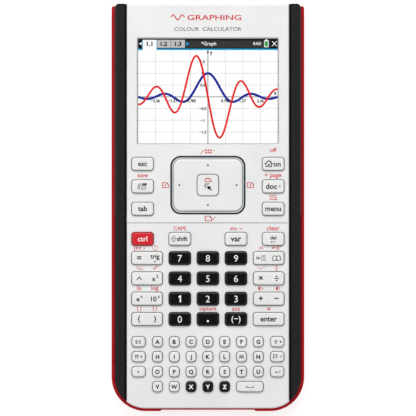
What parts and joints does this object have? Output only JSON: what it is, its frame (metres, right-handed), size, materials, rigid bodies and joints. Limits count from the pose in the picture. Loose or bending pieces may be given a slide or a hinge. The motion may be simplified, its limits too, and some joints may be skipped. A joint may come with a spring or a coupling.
{
  "type": "graphing calculator",
  "caption": "Handheld graphing calculator with a colour display, touchpad, full keypad and a slide-on hard case stored on its back.",
  "frame": {"origin": "centre of the bounding box's bottom face, on the case's underside", "axes": "+Z out of the display, +Y towards the display end, +X to the reader's right"},
  "size_m": [0.09, 0.19, 0.0188],
  "materials": {
    "white_housing": "satin moulded white",
    "dark_rail": "satin dark grey",
    "dark_housing": "fine moulded texture, near black",
    "red_case": "satin red",
    "window": "clear polished",
    "foam": "matte foam",
    "display": "colour display",
    "trim_ring": "satin slate blue",
    "light_key": "satin white",
    "black_key": "satin black",
    "red_key": "satin red",
    "steel": "plated",
    "board": "green solder mask",
    "membrane": "silicone",
    "chip": "black",
    "battery": "wrapped cell",
    "foot": "matte rubber",
    "light_pipe": "clear moulded"
  },
  "bodies": {
    "handheld": {"battery_cover": "dark_housing", "battery_pack": "battery", "board_components": "chip", "display_gasket": "foam", "display_module": "display", "display_window": "window", "dock_connector": "chip", "front_housing": "white_housing", "housing_screws": "steel", "keypad_membrane": "membrane", "left_side_rail": "dark_rail", "main_board": "board", "rear_feet": "foot", "rear_housing": "dark_housing", "right_side_rail": "dark_rail", "status_light": "light_pipe", "touchpad_trim_ring": "trim_ring", "usb_socket": "steel"},
    "escape_key": {"escape_key": "light_key"},
    "scratchpad_key": {"scratchpad_key": "light_key"},
    "tab_key": {"tab_key": "light_key"},
    "home_key": {"home_key": "light_key"},
    "document_key": {"document_key": "light_key"},
    "menu_key": {"menu_key": "light_key"},
    "control_key": {"control_key": "red_key"},
    "shift_key": {"shift_key": "light_key"},
    "variable_key": {"variable_key": "light_key"},
    "delete_key": {"delete_key": "light_key"},
    "enter_key": {"enter_key": "light_key"},
    "seven_key": {"seven_key": "black_key"},
    "eight_key": {"eight_key": "black_key"},
    "nine_key": {"nine_key": "black_key"},
    "four_key": {"four_key": "black_key"},
    "five_key": {"five_key": "black_key"},
    "six_key": {"six_key": "black_key"},
    "one_key": {"one_key": "black_key"},
    "two_key": {"two_key": "black_key"},
    "three_key": {"three_key": "black_key"},
    "zero_key": {"zero_key": "black_key"},
    "point_key": {"point_key": "black_key"},
    "negate_key": {"negate_key": "black_key"},
    "space_key": {"space_key": "light_key"},
    "equals_trig_key": {"equals_trig_key": "light_key"},
    "power_square_key": {"power_square_key": "light_key"},
    "exponential_key": {"exponential_key": "light_key"},
    "bracket_key": {"bracket_key": "light_key"},
    "template_catalog_key": {"template_catalog_key": "light_key"},
    "multiply_divide_key": {"multiply_divide_key": "light_key"},
    "plus_minus_key": {"plus_minus_key": "light_key"},
    "letter_keys_row_1": {"letter_keys_row_1": "light_key"},
    "letter_keys_row_2": {"letter_keys_row_2": "light_key"},
    "letter_keys_row_3": {"letter_keys_row_3": "light_key"},
    "letter_keys_row_4": {"letter_keys_row_4": "light_key"},
    "variable_letter_keys": {"variable_letter_keys": "black_key"},
    "touchpad_bracket": {"touchpad_bracket": "steel"},
    "touchpad": {"touchpad_plate": "light_key", "touchpad_sensor_board": "board"},
    "touchpad_click": {"touchpad_click_button": "light_key"},
    "reset_button": {"reset_button": "dark_housing"},
    "slide_case": {"slide_case": "red_case"}
  },
  "joints": [
    {"name": "slide_case_slide", "type": "slide", "parent": "handheld", "child": "slide_case", "axis": [0, -1, 0], "range_m": [0, 0.195]},
    {"name": "touchpad_tilt_up_down", "type": "hinge", "parent": "handheld", "child": "touchpad_bracket", "pos_m": [0, 0.0105, 0.0142], "axis": [1, 0, 0], "range_deg": [-1.5, 1.5], "stiffness_Nm_per_rad": 0.45},
    {"name": "touchpad_tilt_left_right", "type": "hinge", "parent": "touchpad_bracket", "child": "touchpad", "pos_m": [0, 0.0105, 0.0153], "axis": [0, 1, 0], "range_deg": [-1.5, 1.5], "stiffness_Nm_per_rad": 0.45},
    {"name": "touchpad_click_press", "type": "slide", "parent": "touchpad", "child": "touchpad_click", "axis": [0, 0, -1], "range_m": [0, 0.0004], "stiffness_N_per_m": 2500, "springref_m": -0.0001},
    {"name": "reset_press", "type": "slide", "parent": "handheld", "child": "reset_button", "axis": [0, 0, 1], "range_m": [0, 0.0005], "stiffness_N_per_m": 1500, "springref_m": -0.0001},
    {"name": "escape_key_press", "type": "slide", "parent": "handheld", "child": "escape_key", "axis": [0, 0, -1], "range_m": [0, 0.0007], "stiffness_N_per_m": 1200, "springref_m": -0.0002, "deforming": ["keypad_membrane"]},
    {"name": "scratchpad_key_press", "type": "slide", "parent": "handheld", "child": "scratchpad_key", "axis": [0, 0, -1], "range_m": [0, 0.0007], "stiffness_N_per_m": 1200, "springref_m": -0.0002, "deforming": ["keypad_membrane"]},
    {"name": "tab_key_press", "type": "slide", "parent": "handheld", "child": "tab_key", "axis": [0, 0, -1], "range_m": [0, 0.0007], "stiffness_N_per_m": 1200, "springref_m": -0.0002, "deforming": ["keypad_membrane"]},
    {"name": "home_key_press", "type": "slide", "parent": "handheld", "child": "home_key", "axis": [0, 0, -1], "range_m": [0, 0.0007], "stiffness_N_per_m": 1200, "springref_m": -0.0002, "deforming": ["keypad_membrane"]},
    {"name": "document_key_press", "type": "slide", "parent": "handheld", "child": "document_key", "axis": [0, 0, -1], "range_m": [0, 0.0007], "stiffness_N_per_m": 1200, "springref_m": -0.0002, "deforming": ["keypad_membrane"]},
    {"name": "menu_key_press", "type": "slide", "parent": "handheld", "child": "menu_key", "axis": [0, 0, -1], "range_m": [0, 0.0007], "stiffness_N_per_m": 1200, "springref_m": -0.0002, "deforming": ["keypad_membrane"]},
    {"name": "control_key_press", "type": "slide", "parent": "handheld", "child": "control_key", "axis": [0, 0, -1], "range_m": [0, 0.0007], "stiffness_N_per_m": 1200, "springref_m": -0.0002, "deforming": ["keypad_membrane"]},
    {"name": "shift_key_press", "type": "slide", "parent": "handheld", "child": "shift_key", "axis": [0, 0, -1], "range_m": [0, 0.0007], "stiffness_N_per_m": 1200, "springref_m": -0.0002, "deforming": ["keypad_membrane"]},
    {"name": "variable_key_press", "type": "slide", "parent": "handheld", "child": "variable_key", "axis": [0, 0, -1], "range_m": [0, 0.0007], "stiffness_N_per_m": 1200, "springref_m": -0.0002, "deforming": ["keypad_membrane"]},
    {"name": "delete_key_press", "type": "slide", "parent": "handheld", "child": "delete_key", "axis": [0, 0, -1], "range_m": [0, 0.0007], "stiffness_N_per_m": 1200, "springref_m": -0.0002, "deforming": ["keypad_membrane"]},
    {"name": "enter_key_press", "type": "slide", "parent": "handheld", "child": "enter_key", "axis": [0, 0, -1], "range_m": [0, 0.0007], "stiffness_N_per_m": 1200, "springref_m": -0.0002, "deforming": ["keypad_membrane"]},
    {"name": "seven_key_press", "type": "slide", "parent": "handheld", "child": "seven_key", "axis": [0, 0, -1], "range_m": [0, 0.0007], "stiffness_N_per_m": 1200, "springref_m": -0.0002, "deforming": ["keypad_membrane"]},
    {"name": "eight_key_press", "type": "slide", "parent": "handheld", "child": "eight_key", "axis": [0, 0, -1], "range_m": [0, 0.0007], "stiffness_N_per_m": 1200, "springref_m": -0.0002, "deforming": ["keypad_membrane"]},
    {"name": "nine_key_press", "type": "slide", "parent": "handheld", "child": "nine_key", "axis": [0, 0, -1], "range_m": [0, 0.0007], "stiffness_N_per_m": 1200, "springref_m": -0.0002, "deforming": ["keypad_membrane"]},
    {"name": "four_key_press", "type": "slide", "parent": "handheld", "child": "four_key", "axis": [0, 0, -1], "range_m": [0, 0.0007], "stiffness_N_per_m": 1200, "springref_m": -0.0002, "deforming": ["keypad_membrane"]},
    {"name": "five_key_press", "type": "slide", "parent": "handheld", "child": "five_key", "axis": [0, 0, -1], "range_m": [0, 0.0007], "stiffness_N_per_m": 1200, "springref_m": -0.0002, "deforming": ["keypad_membrane"]},
    {"name": "six_key_press", "type": "slide", "parent": "handheld", "child": "six_key", "axis": [0, 0, -1], "range_m": [0, 0.0007], "stiffness_N_per_m": 1200, "springref_m": -0.0002, "deforming": ["keypad_membrane"]},
    {"name": "one_key_press", "type": "slide", "parent": "handheld", "child": "one_key", "axis": [0, 0, -1], "range_m": [0, 0.0007], "stiffness_N_per_m": 1200, "springref_m": -0.0002, "deforming": ["keypad_membrane"]},
    {"name": "two_key_press", "type": "slide", "parent": "handheld", "child": "two_key", "axis": [0, 0, -1], "range_m": [0, 0.0007], "stiffness_N_per_m": 1200, "springref_m": -0.0002, "deforming": ["keypad_membrane"]},
    {"name": "three_key_press", "type": "slide", "parent": "handheld", "child": "three_key", "axis": [0, 0, -1], "range_m": [0, 0.0007], "stiffness_N_per_m": 1200, "springref_m": -0.0002, "deforming": ["keypad_membrane"]},
    {"name": "zero_key_press", "type": "slide", "parent": "handheld", "child": "zero_key", "axis": [0, 0, -1], "range_m": [0, 0.0007], "stiffness_N_per_m": 1200, "springref_m": -0.0002, "deforming": ["keypad_membrane"]},
    {"name": "point_key_press", "type": "slide", "parent": "handheld", "child": "point_key", "axis": [0, 0, -1], "range_m": [0, 0.0007], "stiffness_N_per_m": 1200, "springref_m": -0.0002, "deforming": ["keypad_membrane"]},
    {"name": "negate_key_press", "type": "slide", "parent": "handheld", "child": "negate_key", "axis": [0, 0, -1], "range_m": [0, 0.0007], "stiffness_N_per_m": 1200, "springref_m": -0.0002, "deforming": ["keypad_membrane"]},
    {"name": "space_key_press", "type": "slide", "parent": "handheld", "child": "space_key", "axis": [0, 0, -1], "range_m": [0, 0.0007], "stiffness_N_per_m": 1200, "springref_m": -0.0002, "deforming": ["keypad_membrane"]},
    {"name": "equals_trig_key_rock", "type": "hinge", "parent": "handheld", "child": "equals_trig_key", "pos_m": [-0.0283, -0.02347, 0.015], "axis": [0, 1, 0], "range_deg": [-3.5, 3.5], "stiffness_Nm_per_rad": 0.08, "deforming": ["keypad_membrane"]},
    {"name": "power_square_key_rock", "type": "hinge", "parent": "handheld", "child": "power_square_key", "pos_m": [-0.0283, -0.03293, 0.015], "axis": [0, 1, 0], "range_deg": [-3.5, 3.5], "stiffness_Nm_per_rad": 0.08, "deforming": ["keypad_membrane"]},
    {"name": "exponential_key_rock", "type": "hinge", "parent": "handheld", "child": "exponential_key", "pos_m": [-0.0283, -0.04239, 0.015], "axis": [0, 1, 0], "range_deg": [-3.5, 3.5], "stiffness_Nm_per_rad": 0.08, "deforming": ["keypad_membrane"]},
    {"name": "bracket_key_rock", "type": "hinge", "parent": "handheld", "child": "bracket_key", "pos_m": [-0.0283, -0.05185, 0.015], "axis": [0, 1, 0], "range_deg": [-3.5, 3.5], "stiffness_Nm_per_rad": 0.08, "deforming": ["keypad_membrane"]},
    {"name": "template_catalog_key_rock", "type": "hinge", "parent": "handheld", "child": "template_catalog_key", "pos_m": [0.0283, -0.02347, 0.015], "axis": [0, 1, 0], "range_deg": [-3.5, 3.5], "stiffness_Nm_per_rad": 0.08, "deforming": ["keypad_membrane"]},
    {"name": "multiply_divide_key_rock", "type": "hinge", "parent": "handheld", "child": "multiply_divide_key", "pos_m": [0.0283, -0.03293, 0.015], "axis": [0, 1, 0], "range_deg": [-3.5, 3.5], "stiffness_Nm_per_rad": 0.08, "deforming": ["keypad_membrane"]},
    {"name": "plus_minus_key_rock", "type": "hinge", "parent": "handheld", "child": "plus_minus_key", "pos_m": [0.0283, -0.04239, 0.015], "axis": [0, 1, 0], "range_deg": [-3.5, 3.5], "stiffness_Nm_per_rad": 0.08, "deforming": ["keypad_membrane"]},
    {"name": "letter_keys_row_1_press", "type": "slide", "parent": "handheld", "child": "letter_keys_row_1", "axis": [0, 0, -1], "range_m": [0, 0.0007], "stiffness_N_per_m": 1200, "springref_m": -0.0002, "deforming": ["keypad_membrane"]},
    {"name": "letter_keys_row_2_press", "type": "slide", "parent": "handheld", "child": "letter_keys_row_2", "axis": [0, 0, -1], "range_m": [0, 0.0007], "stiffness_N_per_m": 1200, "springref_m": -0.0002, "deforming": ["keypad_membrane"]},
    {"name": "letter_keys_row_3_press", "type": "slide", "parent": "handheld", "child": "letter_keys_row_3", "axis": [0, 0, -1], "range_m": [0, 0.0007], "stiffness_N_per_m": 1200, "springref_m": -0.0002, "deforming": ["keypad_membrane"]},
    {"name": "letter_keys_row_4_press", "type": "slide", "parent": "handheld", "child": "letter_keys_row_4", "axis": [0, 0, -1], "range_m": [0, 0.0007], "stiffness_N_per_m": 1200, "springref_m": -0.0002, "deforming": ["keypad_membrane"]},
    {"name": "variable_letter_keys_press", "type": "slide", "parent": "handheld", "child": "variable_letter_keys", "axis": [0, 0, -1], "range_m": [0, 0.0007], "stiffness_N_per_m": 1200, "springref_m": -0.0002, "deforming": ["keypad_membrane"]}
  ]
}
